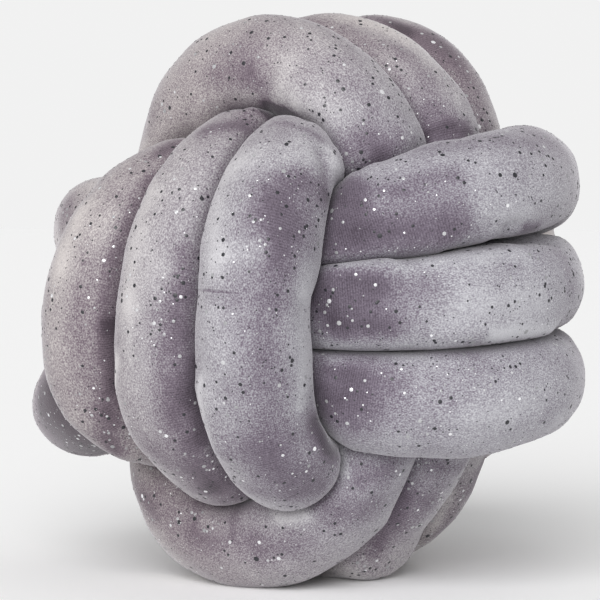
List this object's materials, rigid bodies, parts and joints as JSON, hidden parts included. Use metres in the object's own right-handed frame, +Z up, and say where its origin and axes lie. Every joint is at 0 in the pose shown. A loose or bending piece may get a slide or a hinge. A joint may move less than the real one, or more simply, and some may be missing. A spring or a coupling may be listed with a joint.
{
  "type": "knot cushion",
  "caption": "Round knot cushion: one stuffed velvet tube wound into a ball of three interlocked sets of turns, grey with small foil dots.",
  "frame": {"origin": "on the surface that the cushion rests on, under the middle of its box", "axes": "+Z up; -Y towards the front, where three upright turns show; +X towards the side where three level turns show"},
  "size_m": [0.3046, 0.2846, 0.2862],
  "materials": {
    "velvet": "short-pile grey-mauve velvet with tonal nap and small silver foil dots"
  },
  "bodies": {
    "root": {"knot_tube": "velvet"}
  },
  "joints": []
}
